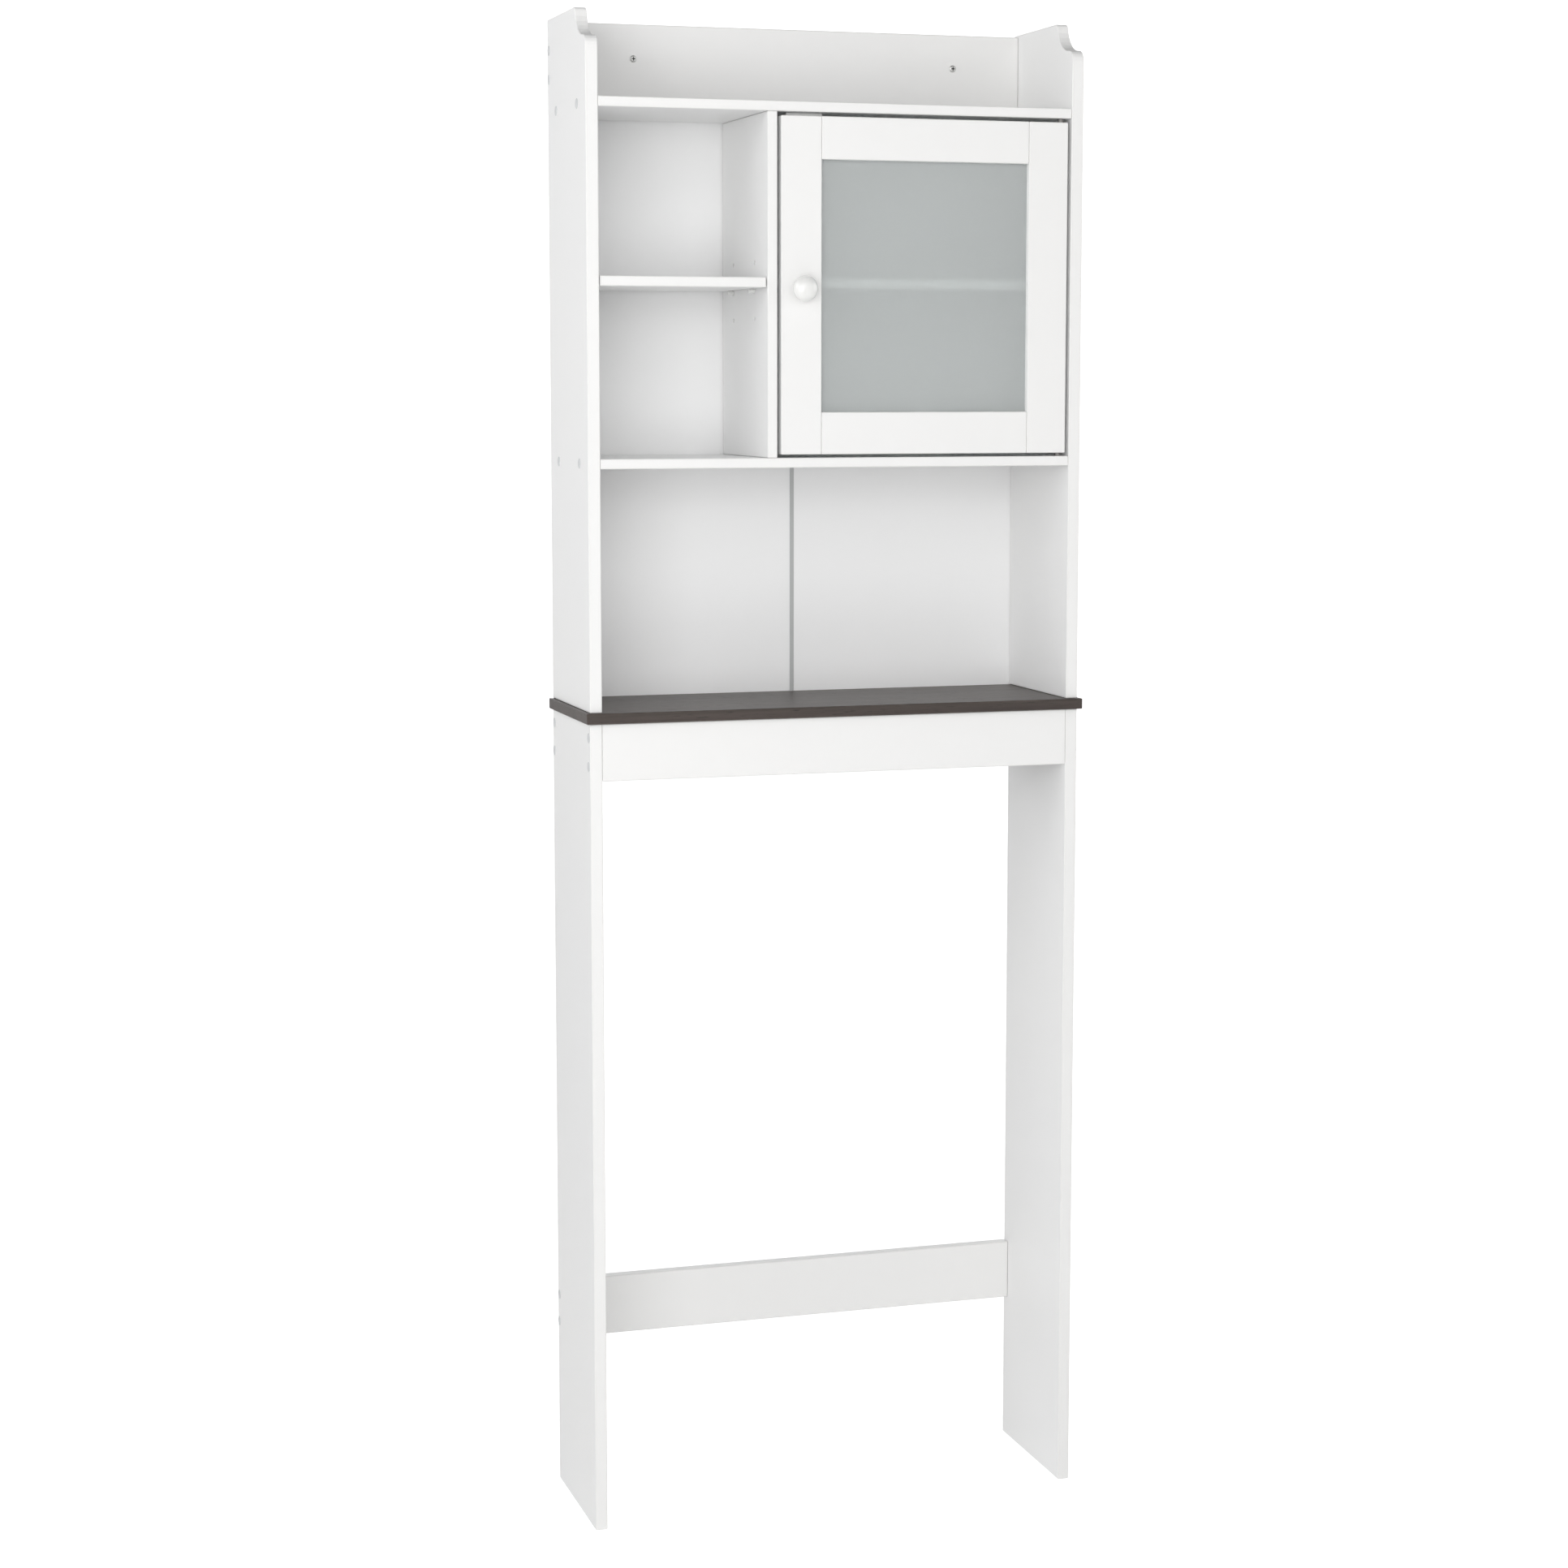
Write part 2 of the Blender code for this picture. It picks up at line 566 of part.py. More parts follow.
# ---- small fittings ----
def make_shelf_pins(plastic):
    """Four pins for each loose shelf: a stem in the panel, a collar and a short peg."""
    stem = PIN_DEPTH - CLEAR
    profile = [(0.0, -stem), (PIN_RADIUS - 0.0005, -stem), (PIN_RADIUS, -stem + 0.0005),
               (PIN_RADIUS, CLEAR), (0.0038, CLEAR), (0.0038, 0.0012), (PIN_RADIUS, 0.0012),
               (PIN_RADIUS, PIN_REACH - 0.0005), (PIN_RADIUS - 0.0005, PIN_REACH),
               (0.0, PIN_REACH)]
    faces = (
        ("left_shelf_pin_outer", -INNER, "+X"),
        ("left_shelf_pin_inner", PARTITION_LEFT, "-X"),
        ("right_shelf_pin_inner", PARTITION_RIGHT, "+X"),
        ("right_shelf_pin_outer", INNER, "-X"),
    )
    for name, x, way in faces:
        for row, y in zip(("front", "rear"), PIN_Y):
            turned(name + "_" + row, profile, plastic, (x, y, PIN_HEIGHT), TURN[way])


def make_side_screws(plastic):
    """Connecting screws with a flat white cap, driven through each side into the boards."""
    proud = SCREW_PROUD
    seat = SCREW_HEAD - proud
    cap = SCREW_HEAD_RADIUS
    profile = [(0.0, -proud), (cap - 0.0006, -proud), (cap, -proud + 0.0004), (cap, seat),
               (SCREW_SHANK_RADIUS, seat), (SCREW_SHANK_RADIUS, SCREW_LENGTH - 0.003),
               (0.0008, SCREW_LENGTH), (0.0, SCREW_LENGTH)]
    for side, hand, way in (("left", -1, "+X"), ("right", 1, "-X")):
        for joint, place in screw_places().items():
            turned(side + "_screw_" + joint, profile, plastic, (hand * HALF, *place), TURN[way])


def wall_screw_places():
    height = TOP_RAIL_TOP - 0.042
    return (("left", -0.210, height), ("right", 0.210, height))


def wall_screw_holes():
    return [((x, BACK - SIDE, z), "+Y", 0.002 + CLEAR, SIDE + 0.002) for _, x, z in wall_screw_places()]


def make_wall_screws(steel):
    """Pan-head screws through the top rail; each shank ends at the wall."""
    head = 0.0024
    profile = [(0.0, -head), (0.0028, -head), (0.0042, -head * 0.55), (0.0045, -0.0002),
               (0.002, -0.0002), (0.002, SIDE - 0.0006), (0.0015, SIDE - 0.0002),
               (0.0, SIDE - 0.0002)]
    for side, x, z in wall_screw_places():
        face = BACK - SIDE
        screw = turned("wall_screw_" + side, profile, steel, (x, face - 0.0001, z), TURN["+Y"])
        cut(screw, cross_cutter("wall_screw_cross_" + side, (x, face - head - 0.0001, z)))


def cross_cutter(name, place):
    """A plus-shaped recess cutter: a small cube whose four side faces are pulled out along X and Z."""
    slot = 0.0009
    arm = 0.00175
    bm = bmesh.new()
    bmesh.ops.create_cube(bm, size=slot)
    bmesh.ops.scale(bm, vec=(1.0, 2.2, 1.0), verts=bm.verts)
    bm.normal_update()
    sides = [face for face in bm.faces if abs(face.normal.y) < 0.5]
    for face in bmesh.ops.extrude_discrete_faces(bm, faces=sides)["faces"]:
        bmesh.ops.translate(bm, vec=face.normal * arm, verts=face.verts)
    return add_object(name, bm, None, place)


def make_dowels(wood):
    """Dowels through the counter board into the panels above and below."""
    half = COUNTER / 2 + DOWEL_GRIP
    point = 0.001
    profile = [(0.0, -half), (DOWEL_RADIUS - point, -half), (DOWEL_RADIUS, -half + point),
               (DOWEL_RADIUS, half - point), (DOWEL_RADIUS - point, half), (0.0, half)]
    middle = COUNTER_UNDERSIDE + COUNTER / 2
    for side, hand in (("left", -1), ("right", 1)):
        for row, place in zip(("front", "rear"), dowel_places(hand)):
            turned(side + "_dowel_" + row, profile, wood, (*place, middle))


def clear_scene():
    for item in list(bpy.data.objects):
        bpy.data.objects.remove(item, do_unlink=True)


def build():
    clear_scene()
    finish = make_materials()
    white = finish["white_paint"]
    plastic = finish["white_plastic"]
    steel = finish["zinc_steel"]
    for side, hand in (("left", -1), ("right", 1)):
        make_leg_panel(side, hand, white)
        make_upper_side(side, hand, white)
    make_counter_board(finish["dark_wood"])
    make_cross_boards(white)
    make_partition(white)
    make_loose_shelves(white)
    make_back(finish["hardboard"], plastic)
    hinge_axis = make_hinge_axis()
    make_door_frame(hinge_axis, white)
    make_glazing(hinge_axis, finish["frosted_glass"], plastic)
    make_knob(hinge_axis, finish["glazed_white"], steel)
    make_pivots(hinge_axis, steel, plastic)
    make_catch(hinge_axis, plastic, steel)
    make_shelf_pins(plastic)
    make_side_screws(plastic)
    make_wall_screws(steel)
    make_dowels(finish["beech"])


build()
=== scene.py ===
import math

import bmesh
import bpy
from mathutils import Matrix, Vector


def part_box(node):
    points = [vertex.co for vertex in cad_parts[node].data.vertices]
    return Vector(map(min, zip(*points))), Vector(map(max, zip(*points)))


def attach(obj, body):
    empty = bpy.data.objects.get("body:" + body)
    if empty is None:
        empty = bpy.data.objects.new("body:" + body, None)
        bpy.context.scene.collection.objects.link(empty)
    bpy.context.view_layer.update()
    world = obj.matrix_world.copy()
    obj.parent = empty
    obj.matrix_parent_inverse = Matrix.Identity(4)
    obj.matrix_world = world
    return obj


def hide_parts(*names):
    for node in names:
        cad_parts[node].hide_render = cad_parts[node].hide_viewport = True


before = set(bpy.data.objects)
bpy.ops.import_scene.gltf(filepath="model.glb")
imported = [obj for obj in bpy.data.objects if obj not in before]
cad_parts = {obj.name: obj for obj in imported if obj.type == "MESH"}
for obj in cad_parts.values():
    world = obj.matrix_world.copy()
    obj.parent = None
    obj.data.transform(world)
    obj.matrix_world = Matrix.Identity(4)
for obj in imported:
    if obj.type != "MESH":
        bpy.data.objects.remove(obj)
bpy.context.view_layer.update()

# ---- Camera ----
# A long lens a little to the rack's left at shoulder height, so the left side's outer face shows.
# The shift is kept small, so that the whole rack stays inside the frame from every side.
EYE = (-1.185, -3.699, 1.411)
LENS = 71.29
PITCH = -6.771
YAW = -17.142
SHIFT = -0.02
SENSOR = 36.0

camera_data = bpy.data.cameras.new("camera")
camera_data.lens = LENS
camera_data.sensor_width = SENSOR
camera_data.shift_y = SHIFT
camera = bpy.data.objects.new("camera", camera_data)
camera.location = EYE
camera.rotation_euler = (math.radians(90 + PITCH), 0.0, math.radians(YAW))
bpy.context.scene.collection.objects.link(camera)
bpy.context.scene.camera = camera

# ---- Studio ----
# A round white cove: a floor that curves up into a wall all the way round the rack, with soft
# boxes. The key hangs to the front left, so left faces stay nearly as light. The cove and the sky
# show brighter than they light the rack, so the backdrop stays white and the paint keeps its tone.
COVE_RADIUS = 8.0
COVE_BEND = 2.0
COVE_TOP = 7.0
COVE_WHITE = (0.88, 0.88, 0.88, 1)
SKY = 0.05
SKY_SEEN = 0.9


def principled(name, **values):
    """A material whose shader has the given socket values; returns material, tree and shader."""
    made = bpy.data.materials.new(name)
    made.use_nodes = True
    shader = made.node_tree.nodes["Principled BSDF"]
    for socket, value in values.items():
        shader.inputs[socket.replace("_", " ").title().replace("Ior", "IOR")].default_value = value
    return made, made.node_tree, shader


def finish_mesh(name, bm, finish, smooth=35):
    """Turn a bmesh into an object at the origin, shaded smooth up to an angle in degrees."""
    mesh = bpy.data.meshes.new(name)
    bm.to_mesh(mesh)
    bm.free()
    mesh.shade_smooth()
    mesh.set_sharp_from_angle(angle=math.radians(smooth))
    mesh.materials.append(finish)
    piece = bpy.data.objects.new(name, mesh)
    bpy.context.scene.collection.objects.link(piece)
    return piece


class Wire:
    """A shader socket that can be used in an expression."""

    def __init__(self, tree, socket):
        self.tree = tree
        self.socket = socket

    def node(self, kind, settings=None, output=0, **sockets):
        """Add any node: settings first, then socket values or wires by socket name or number."""
        made = self.tree.nodes.new(kind)
        for key, value in (settings or {}).items():
            setattr(made, key, value)
        for key, value in sockets.items():
            key = int(key[1:]) if key[0] == "_" and key[1:].isdigit() else key.replace("_", " ")
            target = made.inputs[key]
            if isinstance(value, Wire):
                self.tree.links.new(value.socket, target)
            else:
                target.default_value = value
        return Wire(self.tree, made.outputs[output])

    def math(self, operation, *values):
        sockets = {f"_{index}": value for index, value in enumerate(values)}
        return self.node("ShaderNodeMath", {"operation": operation}, **sockets)

    def __add__(self, other):
        return self.math("ADD", self, other)

    def __sub__(self, other):
        return self.math("SUBTRACT", self, other)

    def __rsub__(self, other):
        return self.math("SUBTRACT", other, self)

    def __mul__(self, other):
        return self.math("MULTIPLY", self, other)

    def __truediv__(self, other):
        return self.math("DIVIDE", self, other)

    __radd__ = __add__
    __rmul__ = __mul__

    def clamp(self):
        return self.math("MINIMUM", self.math("MAXIMUM", self, 0.0), 1.0)

    def blend(self, low, high):
        """A colour that goes from low to high as this value goes from 0 to 1."""
        settings = {"data_type": "RGBA"}
        return self.node("ShaderNodeMix", settings, output=2, _0=self, _6=low, _7=high)

    def noise(self, scale, detail=2.0, roughness=0.5):
        return self.node("ShaderNodeTexNoise", Vector=self, Scale=scale, Detail=detail,
                         Roughness=roughness)

    def stretched(self, scale, turn=(0.0, 0.0, 0.0)):
        return self.node("ShaderNodeMapping", Vector=self, Rotation=turn, Scale=scale)

    def axis(self, index):
        return self.node("ShaderNodeSeparateXYZ", output=index, Vector=self)

    def bump(self, distance, strength=1.0):
        return self.node("ShaderNodeBump", Height=self, Distance=distance, Strength=strength)

    def drive(self, shader, socket):
        self.tree.links.new(self.socket, shader.inputs[socket])


def coordinates(tree, output="Object"):
    place = tree.nodes.new("ShaderNodeTexCoord")
    return Wire(tree, place.outputs[output])


GLOW = 0.36
FLOOR_GLOW = (0.30, 0.30, 0.30, 1)
WALL_GLOW = (1.0, 1.0, 1.0, 1)
FLOOR_SEEN = (2.0, 2.0, 2.0, 1)
WALL_SEEN = (2.6, 2.6, 2.6, 1)
GLOW_HEIGHT = 0.8

sweep_paint, tree, shader = principled("studio_white", base_color=COVE_WHITE, roughness=0.9,
                                       emission_strength=GLOW)
height = coordinates(tree).axis(2) / GLOW_HEIGHT
seen = Wire(tree, tree.nodes.new("ShaderNodeLightPath").outputs["Is Camera Ray"])
cast = height.clamp().blend(FLOOR_GLOW, WALL_GLOW)
shown = height.clamp().blend(FLOOR_SEEN, WALL_SEEN)
seen.blend(cast, shown).drive(shader, "Emission Color")
bm = bmesh.new()
middle = bm.verts.new((0, 0, 0))
bend_start = bm.verts.new((0, COVE_RADIUS - COVE_BEND, 0))
bm.edges.new((middle, bend_start))
bend = bmesh.ops.spin(bm, geom=[bend_start], cent=(0, COVE_RADIUS - COVE_BEND, COVE_BEND),
                      axis=(1, 0, 0), dvec=(0, 0, 0), angle=math.radians(90), steps=12,
                      use_merge=False)
rim = bm.verts.new((0, COVE_RADIUS, COVE_TOP))
bm.edges.new((bend["geom_last"][0], rim))
bmesh.ops.spin(bm, geom=bm.verts[:] + bm.edges[:], cent=(0, 0, 0), axis=(0, 0, 1), dvec=(0, 0, 0),
               angle=math.tau, steps=48, use_merge=True)
bmesh.ops.remove_doubles(bm, verts=bm.verts, dist=1e-4)
finish_mesh("studio_sweep", bm, sweep_paint, 60)

world = bpy.data.worlds.new("studio_sky")
world.use_nodes = True
background = world.node_tree.nodes["Background"]
background.inputs["Color"].default_value = (1.0, 1.0, 1.0, 1)
light_path = world.node_tree.nodes.new("ShaderNodeLightPath")
seen = Wire(world.node_tree, light_path.outputs["Is Camera Ray"])
(seen * (SKY_SEEN - SKY) + SKY).drive(background, "Strength")
bpy.context.scene.world = world
bpy.context.scene.view_settings.view_transform = "Standard"

SOFT_BOXES = (
    ("key_box", (-1.4, -2.5, 1.35), (0.0, 0.0, 1.35), 1.5, 28),
    ("high_front_box", (-0.3, -3.4, 2.6), (0.0, 0.0, 1.4), 1.6, 12),
    ("left_box", (-2.6, -0.9, 2.5), (0.0, 0.0, 1.6), 1.4, 16),
    ("right_box", (2.8, -0.8, 1.9), (0.0, 0.0, 1.3), 1.4, 11),
    ("back_box", (0.8, 3.4, 2.2), (0.0, 0.0, 1.0), 1.6, 16),
    ("floor_wash", (0.0, -0.5, 6.0), (0.0, 0.3, 0.0), 5.0, 12),
)
for name, place, target, size, power in SOFT_BOXES:
    lamp = bpy.data.lights.new(name, "AREA")
    lamp.size = size
    lamp.energy = power
    box = bpy.data.objects.new(name, lamp)
    box.location = place
    box.rotation_euler = (Vector(target) - Vector(place)).to_track_quat("-Z", "Y").to_euler()
    bpy.context.scene.collection.objects.link(box)


# ---- Painted boards ----
# Sides, shelves, rails, aprons and door frame: medium-density fibreboard, sprayed with a white
# satin lacquer. The spray leaves a fine orange peel, and it lies thinner and warmer on the edges.
# Faces that look to the front take the same darker, warmer white as painted shade.
PAINT = (0.90, 0.90, 0.895, 1)
PAINT_COOL = (0.885, 0.888, 0.89, 1)
# A darker, warmer white: thinner lacquer on the edges, and painted shade on front faces.
PAINT_EDGE_AND_FRONT_SHADE = (0.81, 0.804, 0.79, 1)
CLOUD_SCALE = 2.6
PEEL_SCALE = 420.0
FIBRE_SCALE = 1500.0
PAINT_EDGE_REACH = 0.0022
PEEL_HEIGHT = 0.00006
PAINTED = (
    "left_leg_panel", "right_leg_panel", "left_upper_side", "right_upper_side", "front_apron",
    "rear_apron", "lower_rear_stretcher", "middle_shelf", "top_shelf", "top_back_rail",
    "partition", "left_adjustable_shelf", "right_adjustable_shelf", "door_latch_stile",
    "door_hinge_stile", "door_top_rail", "door_bottom_rail",
)


def edge_nearness(place, low, high, reach):
    """1 on a box's edges, falling to 0 at the given reach from them, on the box's surface."""
    gaps = []
    for index in range(3):
        middle = (low[index] + high[index]) / 2
        half = (high[index] - low[index]) / 2
        away = place.math("ABSOLUTE", place.axis(index) - middle)
        gaps.append(half - away)
    near = place.math("MINIMUM", gaps[0], gaps[1])
    far = place.math("MAXIMUM", gaps[0], gaps[1])
    second = place.math("MAXIMUM", near, place.math("MINIMUM", far, gaps[2]))
    return 1 - (second / reach).clamp()


def paint_for(name):
    """White satin lacquer for one board: its box gives the edges; front faces get painted shade.
    """
    low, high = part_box(name)
    made, tree, shader = principled("paint_" + name, ior=1.46)
    place = coordinates(tree)
    edge = edge_nearness(place, low, high, PAINT_EDGE_REACH)
    cloud = place.noise(CLOUD_SCALE, 3.0)
    peel = place.noise(PEEL_SCALE, 3.0, 0.6)
    fibre = place.noise(FIBRE_SCALE, 2.0, 0.6)
    facing = coordinates(tree, "Normal").axis(1)
    front = (facing * -1.0).clamp()
    body = ((cloud - 0.35) * 2.5).clamp().blend(PAINT, PAINT_COOL)
    # Painted shade: faces that look to the front take the darker white, as the thin-lacquer edges
    # do.
    edge_and_front_shade = (front * 0.55 + edge * 0.45).clamp()
    edge_and_front_shade.blend(body, PAINT_EDGE_AND_FRONT_SHADE).drive(shader, "Base Color")
    (0.44 + (cloud - 0.5) * 0.12 + (peel - 0.5) * 0.10 - edge * 0.06).drive(shader, "Roughness")
    (peel + fibre * 0.25).bump(PEEL_HEIGHT, 0.5).drive(shader, "Normal")
    return made


def coat(name, finish):
    """Give a CAD node one finish in place of its plain one."""
    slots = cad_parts[name].data.materials
    slots.clear()
    slots.append(finish)


for name in PAINTED:
    coat(name, paint_for(name))

# ---- Counter board ----
# The dark board at waist height: fibreboard wrapped in an espresso wood-grain foil, with grain
# running from side to side, fine pores, and a satin surface, lighter in broken patches at its
# edges.
ESPRESSO = (0.040, 0.030, 0.026, 1)
ESPRESSO_LIGHT = (0.082, 0.064, 0.055, 1)
ESPRESSO_PORE = (0.020, 0.015, 0.013, 1)
ESPRESSO_EDGE_LIGHTER = (0.15, 0.12, 0.105, 1)


def counter_foil():
    low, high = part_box("counter_board")
    made, tree, shader = principled("espresso_foil")
    place = coordinates(tree)
    along = place.stretched((1.6, 26.0, 26.0))
    bands = along.noise(1.4, 4.0, 0.6)
    lines = place.stretched((9.0, 420.0, 420.0)).noise(1.0, 5.0, 0.65)
    pores = place.stretched((60.0, 900.0, 900.0)).noise(1.0, 2.0, 0.5)
    grain = ((bands - 0.3) * 1.6 + (lines - 0.5) * 1.2).clamp()
    pit = ((pores - 0.62) * 9.0).clamp()
    edge = edge_nearness(place, low, high, 0.0014)
    # A lighter colour in broken patches along the edges.
    edge_lightening = (edge * ((place.noise(60.0, 3.0) - 0.42) * 5.0).clamp()) * 0.55
    wood = grain.blend(ESPRESSO, ESPRESSO_LIGHT)
    edge_lightening.blend(pit.blend(wood, ESPRESSO_PORE), ESPRESSO_EDGE_LIGHTER).drive(shader, "Base Color")
    (0.40 + (lines - 0.5) * 0.14 + pit * 0.15).drive(shader, "Roughness")
    (lines * 0.6 - pit).bump(0.00005, 0.6).drive(shader, "Normal")
    return made


coat("counter_board", counter_foil())

# ---- Back panels ----
# Two sheets of thin hardboard nailed over the back edges. Their front has a smooth white paper
# face; their back is bare brown board with the fine screen pattern that the press leaves.
PAPER_WHITE = (0.91, 0.91, 0.908, 1)
PAPER_GREY = (0.895, 0.898, 0.90, 1)
BOARD_BROWN = (0.27, 0.165, 0.09, 1)
BOARD_DARK = (0.20, 0.115, 0.06, 1)
SCREEN_PITCH = 0.0018


def hardboard():
    made, tree, shader = principled("hardboard", ior=1.45)
    place = coordinates(tree)
    back = (coordinates(tree, "Normal").axis(1) * 4.0 - 1.0).clamp()
    cloud = place.noise(3.0, 3.0)
    speck = place.noise(260.0, 4.0, 0.7)
    paper = cloud.blend(PAPER_WHITE, PAPER_GREY)
    turns = math.tau / SCREEN_PITCH
    weave = place.math("SINE", place.axis(0) * turns) * place.math("SINE", place.axis(2) * turns)
    brown = (speck * 0.7 + weave * 0.25 + cloud * 0.3).clamp().blend(BOARD_DARK, BOARD_BROWN)
    back.blend(paper, brown).drive(shader, "Base Color")
    (0.5 + back * 0.25 + (cloud - 0.5) * 0.1).drive(shader, "Roughness")
    (weave * back + speck * (0.15 + back * 0.5)).bump(0.00012, 0.5).drive(shader, "Normal")
    return made


back_board = hardboard()
for name in ("left_back_panel", "right_back_panel"):
    coat(name, back_board)

NAIL_RADIUS = 0.0022
NAIL_PROUD = 0.0005
NAIL_PITCH = 0.105
NAIL_TOP_INSET = 0.005
NAIL_BOTTOM_INSET = 0.006
NAIL_INNER = 0.022
NAIL_OUTER = 0.3075
NAIL_DULL = (0.42, 0.41, 0.39, 1)
NAIL_BRIGHT = (0.62, 0.61, 0.58, 1)

nail_steel, tree, shader = principled("nail_steel", metallic=1.0)
place = coordinates(tree)
tarnish = place.noise(700.0, 3.0)
tarnish.blend(NAIL_DULL, NAIL_BRIGHT).drive(shader, "Base Color")
(0.32 + tarnish * 0.25).drive(shader, "Roughness")


def nail_places(low, high, inner_x, outer_x):
    """Nail heads round a back panel's three fastened edges, and along the middle shelf."""
    shelf_low, shelf_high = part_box("middle_shelf")
    shelf = (shelf_low[2] + shelf_high[2]) / 2
    top = high[2] - NAIL_TOP_INSET
    bottom = low[2] + NAIL_BOTTOM_INSET
    rows = round((top - bottom) / NAIL_PITCH)
    places = [(outer_x, bottom + (top - bottom) * row / rows) for row in range(rows + 1)]
    columns = round(abs(outer_x - inner_x) / NAIL_PITCH)
    for column in range(1, columns + 1):
        x = outer_x + (inner_x - outer_x) * column / columns
        places += [(x, top), (x, shelf), (x, bottom)]
    return places


for side, hand in (("left", -1), ("right", 1)):
    low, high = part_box(side + "_back_panel")
    bm = bmesh.new()
    for x, z in nail_places(low, high, hand * NAIL_INNER, hand * NAIL_OUTER):
        spot = Matrix.Translation((x, high[1] + NAIL_PROUD / 2, z))
        turn = spot @ Matrix.Rotation(math.radians(-90), 4, "X")
        bmesh.ops.create_cone(bm, cap_ends=True, segments=12, radius1=NAIL_RADIUS,
                              radius2=NAIL_RADIUS * 0.8, depth=NAIL_PROUD, matrix=turn)
    nails = finish_mesh(side + "_back_panel_nails", bm, nail_steel)
    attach(nails, "root")

# ---- Plastic fittings ----
# Glass beads, shelf pins, pivot bushes and the catch body are moulded in a slightly translucent
# white nylon, with flow marks and a soft sheen. The joining strip is drawn in a grey plastic,
# darker than its own colour as the painted shadow line of the joint between the back panels.
NYLON = (0.80, 0.80, 0.785, 1)
NYLON_SHADE = (0.74, 0.745, 0.735, 1)


def nylon():
    made, tree, shader = principled("white_nylon", ior=1.5)
    place = coordinates(tree)
    flow = place.stretched((1.0, 1.0, 0.25)).noise(90.0, 3.0)
    grain = place.noise(1800.0, 2.0)
    flow.blend(NYLON, NYLON_SHADE).drive(shader, "Base Color")
    (0.36 + (flow - 0.5) * 0.2).drive(shader, "Roughness")
    (flow * 0.6 + grain * 0.4).bump(0.00003, 0.5).drive(shader, "Normal")
    return made


white_nylon = nylon()
# The strip's grey is partly its own colour and partly painted shadow: the dark line of the joint.
STRIP_GREY_AND_JOINT_SHADOW = (0.50, 0.51, 0.51, 1)
STRIP_SHADE = (0.44, 0.45, 0.45, 1)

strip_plastic_and_joint_shadow, tree, shader = principled("strip_plastic_and_joint_shadow", ior=1.5)
draw = coordinates(tree).stretched((1.0, 1.0, 0.02)).noise(1200.0, 3.0)
draw.blend(STRIP_GREY_AND_JOINT_SHADOW, STRIP_SHADE).drive(shader, "Base Color")
(0.42 + (draw - 0.5) * 0.2).drive(shader, "Roughness")
draw.bump(0.00003, 0.5).drive(shader, "Normal")
coat("back_joint_strip", strip_plastic_and_joint_shadow)

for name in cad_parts:
    words = name.split("_")
    moulded = "bead" in words or "bush" in words or "catch" in words
    if moulded or ("shelf" in words and "pin" in words):
        coat(name, white_nylon)

# ---- Bright metal ----
# Strike plate, knob screw and wall screws: turned or pressed steel with a thin zinc coat, bright
# with a fine brushed haze and duller patches. The pivot pins are a dark steel, partly painted
# shade.
ZINC = (0.64, 0.64, 0.62, 1)
ZINC_DULL = (0.48, 0.49, 0.49, 1)


def zinc_steel():
    made, tree, shader = principled("zinc_steel", metallic=1.0)
    place = coordinates(tree)
    haze = place.noise(300.0, 4.0, 0.65)
    rings = place.stretched((1.0, 14.0, 14.0)).noise(500.0, 2.0)
    haze.blend(ZINC, ZINC_DULL).drive(shader, "Base Color")
    (0.26 + haze * 0.22 + (rings - 0.5) * 0.1).drive(shader, "Roughness")
    rings.bump(0.00002, 0.5).drive(shader, "Normal")
    return made


bright_zinc = zinc_steel()
for name in ("strike_plate", "knob_screw"):
    coat(name, bright_zinc)

RECESS_ARM = 0.0024
RECESS_WIDTH = 0.0007
RECESS_SOFT = 0.0002
RECESS_PAINTED_SHADE = (0.06, 0.06, 0.06, 1)
HEAD_BRIGHT = (0.80, 0.80, 0.79, 1)


def cross_head(name):
    """Zinc steel for a wall screw's head, its Phillips cross bumped in and painted dark as shade.
    """
    low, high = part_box(name)
    made, tree, shader = principled("zinc_" + name, metallic=1.0)
    place = coordinates(tree)
    across = place.math("ABSOLUTE", place.axis(0) - (low[0] + high[0]) / 2)
    upright = place.math("ABSOLUTE", place.axis(2) - (low[2] + high[2]) / 2)
    slot = place.math("MINIMUM", across, upright)
    reach = place.math("MAXIMUM", across, upright)
    front = (coordinates(tree, "Normal").axis(1) * -2.0).clamp()
    # The cross on the head's front face: a bump, and a near-black colour as painted shade in it.
    cross_recess_and_shade = (((RECESS_WIDTH - slot) / RECESS_SOFT).clamp() *
              ((RECESS_ARM - reach) / RECESS_SOFT).clamp() * front)
    haze = place.noise(300.0, 4.0, 0.65)
    # Painted shade: the cross takes a near-black colour.
    cross_recess_and_shade.blend(haze.blend(HEAD_BRIGHT, ZINC), RECESS_PAINTED_SHADE).drive(shader, "Base Color")
    (0.34 + haze * 0.2 + cross_recess_and_shade * 0.3).drive(shader, "Roughness")
    (1 - cross_recess_and_shade).bump(0.0006, 0.7).drive(shader, "Normal")
    return made


for name in ("wall_screw_left", "wall_screw_right"):
    coat(name, cross_head(name))

# Dark steel for the pivot pins: partly their own finish, partly painted shade that sinks them into
# the door gap's shadow.
OILED_AND_GAP_SHADE = (0.17, 0.165, 0.16, 1)
OILED_RUBBED = (0.30, 0.29, 0.28, 1)

oiled_steel_and_gap_shade, tree, shader = principled("oiled_steel_and_gap_shade", metallic=1.0)
smear = coordinates(tree).noise(380.0, 3.0)
smear.blend(OILED_AND_GAP_SHADE, OILED_RUBBED).drive(shader, "Base Color")
(0.45 + smear * 0.2).drive(shader, "Roughness")
smear.bump(0.00002, 0.5).drive(shader, "Normal")
for name in ("lower_pivot_pin", "upper_pivot_pin"):
    coat(name, oiled_steel_and_gap_shade)

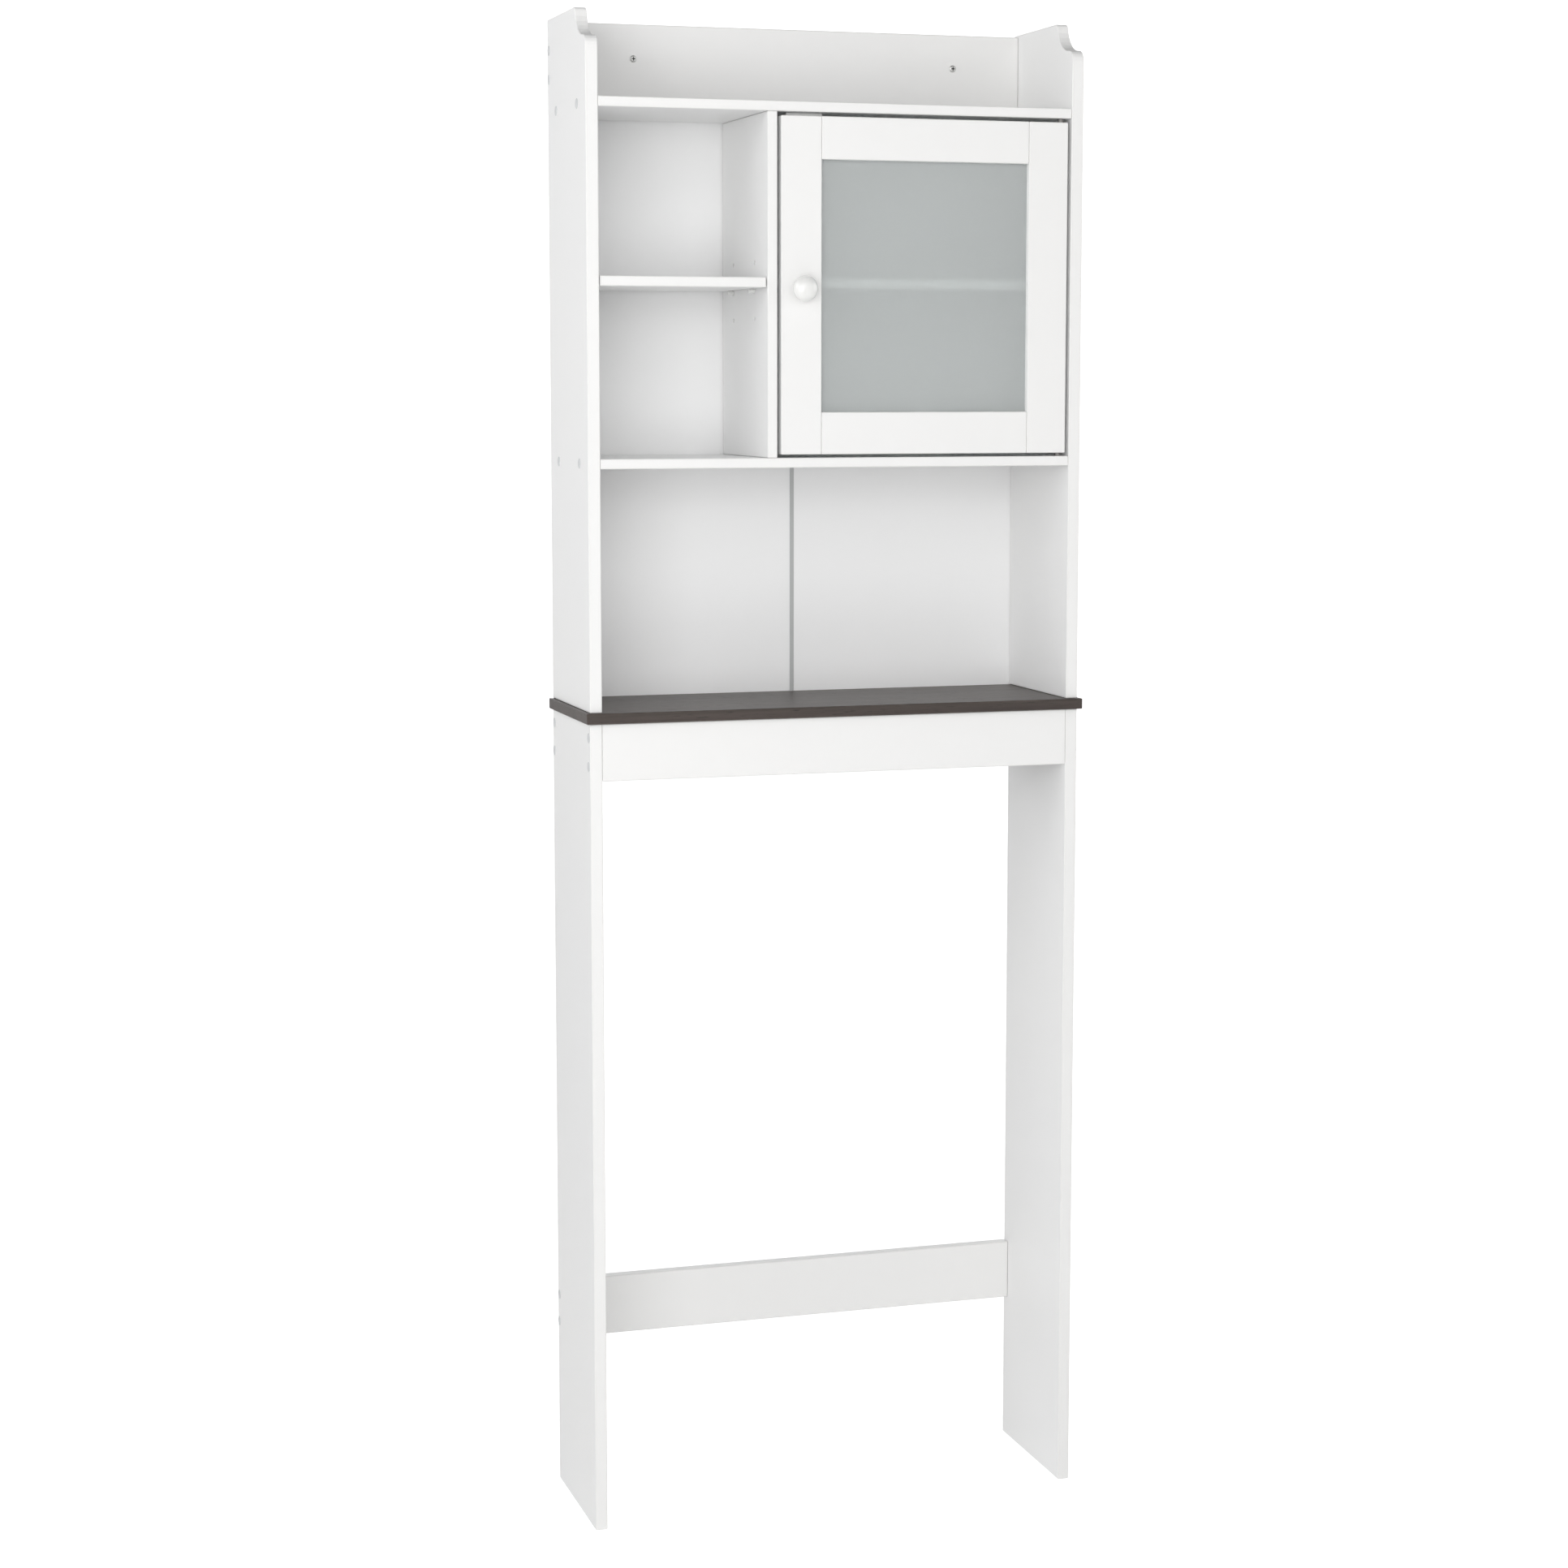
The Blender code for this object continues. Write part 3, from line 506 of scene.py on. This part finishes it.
# ---- Side screws ----
# Connecting screws through the sides, each with a push-on cap in white plastic. The first of each
# pair comes from the CAD; the second is the same cap, pressed over a screw in the same board.
CAP_RADIUS = 0.006
CAP_PROUD = 0.0006
CAP_ROUND = 0.00035
HALF_BOARD = 0.0075
SCREWED = ("top_rail", "top_shelf", "middle_shelf", "front_apron", "rear_apron", "stretcher")
PAIR_SPREAD = 0.035
CAP_WHITE = (0.70, 0.71, 0.72, 1)
CAP_SHADE = (0.62, 0.63, 0.64, 1)


def screw_cap_plastic():
    made, tree, shader = principled("cap_plastic", ior=1.5)
    place = coordinates(tree)
    flow = place.noise(260.0, 3.0)
    flow.blend(CAP_WHITE, CAP_SHADE).drive(shader, "Base Color")
    (0.38 + (flow - 0.5) * 0.2).drive(shader, "Roughness")
    flow.bump(0.00004, 0.5).drive(shader, "Normal")
    return made


cap_plastic = screw_cap_plastic()


def centre_of(name):
    low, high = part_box(name)
    return (Vector(low) + Vector(high)) / 2


for side, hand in (("left", -1), ("right", 1)):
    face = centre_of(side + "_upper_side").x + hand * HALF_BOARD
    for joint in SCREWED:
        screw = f"{side}_screw_{joint}"
        coat(screw, cap_plastic)
        first = centre_of(screw)
        if joint.endswith("shelf"):
            second = Vector((face, centre_of("left_upper_side").y * 2 - first.y, first.z))
        else:
            second = Vector((face, first.y, first.z - PAIR_SPREAD))
        bm = bmesh.new()
        turn = Matrix.Translation(second) @ Matrix.Rotation(math.radians(90 * hand), 4, "Y")
        bmesh.ops.create_circle(bm, cap_ends=True, segments=24, radius=CAP_RADIUS, matrix=turn)
        disc = bm.faces[:]
        raised = bmesh.ops.extrude_face_region(bm, geom=disc)["geom"]
        rim = [item for item in raised if isinstance(item, bmesh.types.BMVert)]
        bmesh.ops.translate(bm, vec=(hand * CAP_PROUD, 0, 0), verts=rim)
        bmesh.ops.recalc_face_normals(bm, faces=bm.faces)
        top_edges = {edge for vert in rim for edge in vert.link_edges
                     if all(end in rim for end in edge.verts)}
        bmesh.ops.bevel(bm, geom=list(top_edges), offset=CAP_ROUND, segments=2, affect="EDGES",
                        profile=0.5, material=-1)
        cap = finish_mesh(f"{side}_cap_{joint}", bm, cap_plastic, 50)
        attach(cap, "root")

# ---- Dowels ----
# Fluted beech pins that line up the counter board with the panels above and below it.
BEECH = (0.60, 0.43, 0.27, 1)
BEECH_FLECK = (0.42, 0.27, 0.15, 1)


def beech_wood():
    made, tree, shader = principled("beech", ior=1.45)
    place = coordinates(tree)
    fleck = place.stretched((700.0, 700.0, 90.0)).noise(1.0, 3.0)
    ((fleck - 0.4) * 2.2).clamp().blend(BEECH, BEECH_FLECK).drive(shader, "Base Color")
    (0.62 + fleck * 0.12).drive(shader, "Roughness")
    fleck.bump(0.0001, 0.5).drive(shader, "Normal")
    return made


beech = beech_wood()
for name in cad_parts:
    if "dowel" in name:
        coat(name, beech)

# ---- Frosted pane ----
# Four-millimetre float glass, acid-etched to a fine even frost, so the shelf behind shows only as
# a soft paler band. The glass has the faint green of plain float glass.
FROST = (0.95, 0.985, 0.98, 1)
CLEARNESS = 0.72


def frosted():
    made, tree, shader = principled("frosted_pane", base_color=FROST, ior=1.5,
                                    transmission_weight=CLEARNESS)
    place = coordinates(tree)
    etch = place.noise(2600.0, 2.0, 0.7)
    patch = place.noise(14.0, 3.0)
    (0.41 + (patch - 0.5) * 0.05).drive(shader, "Roughness")
    etch.bump(0.00003, 0.6).drive(shader, "Normal")
    return made


coat("frosted_glass", frosted())

# ---- Knob ----
# A mushroom knob in glazed white ceramic: a flared foot, a waisted stem and a domed cap with a
# soft rim. It replaces the CAD knob with a finer turned shape of the same size.
GLAZE = (0.84, 0.84, 0.825, 1)
GLAZE_POOL = (0.80, 0.80, 0.785, 1)
KNOB_FOOT = [(0.0, 0.0), (0.0098, 0.0), (0.0104, 0.0005), (0.0104, 0.0013), (0.0098, 0.0019)]
KNOB_WAIST = [(0.0076, 0.0032), (0.0066, 0.0048), (0.0063, 0.0066), (0.0070, 0.0086),
              (0.0090, 0.0103)]
KNOB_UNDER = [(0.0122, 0.0113), (0.0144, 0.0127)]
RIM_HEIGHT = 0.0152
CROWN_START = -8
CROWN_STEPS = 12


def glaze():
    made, tree, shader = principled("white_glaze", ior=1.52, coat_weight=0.35, coat_roughness=0.08)
    place = coordinates(tree)
    pool = place.noise(70.0, 2.0)
    pool.blend(GLAZE, GLAZE_POOL).drive(shader, "Base Color")
    (0.20 + (pool - 0.5) * 0.12).drive(shader, "Roughness")
    pool.bump(0.0001, 0.25).drive(shader, "Normal")
    return made


low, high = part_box("door_knob")
knob_axis = Vector(((low[0] + high[0]) / 2, high[1], (low[2] + high[2]) / 2))
knob_reach = high[1] - low[1]
knob_radius = (high[0] - low[0]) / 2


def knob_outline():
    """(radius, height) points from the foot's rim to the crown."""
    rise = knob_reach - RIM_HEIGHT
    crown = []
    for step in range(CROWN_STEPS + 1):
        angle = math.radians(CROWN_START + (90 - CROWN_START) * step / CROWN_STEPS)
        crown.append((knob_radius * math.cos(angle), RIM_HEIGHT + rise * math.sin(angle)))
    crown[-1] = (0.0, knob_reach)
    return KNOB_FOOT + KNOB_WAIST + KNOB_UNDER + crown


bm = bmesh.new()
ring = [bm.verts.new((radius, 0, height)) for radius, height in knob_outline()]
edges = [bm.edges.new(pair) for pair in zip(ring, ring[1:])]
bmesh.ops.spin(bm, geom=ring + edges, cent=(0, 0, 0), axis=(0, 0, 1), dvec=(0, 0, 0),
               angle=math.tau, steps=64, use_merge=True)
bmesh.ops.remove_doubles(bm, verts=bm.verts, dist=1e-6)
bmesh.ops.recalc_face_normals(bm, faces=bm.faces)
knob_turn = Matrix.Translation(knob_axis) @ Matrix.Rotation(math.radians(90), 4, "X")
bmesh.ops.transform(bm, matrix=knob_turn, verts=bm.verts)
knob = finish_mesh("glazed_knob", bm, glaze(), 50)
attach(knob, "door")
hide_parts("door_knob")
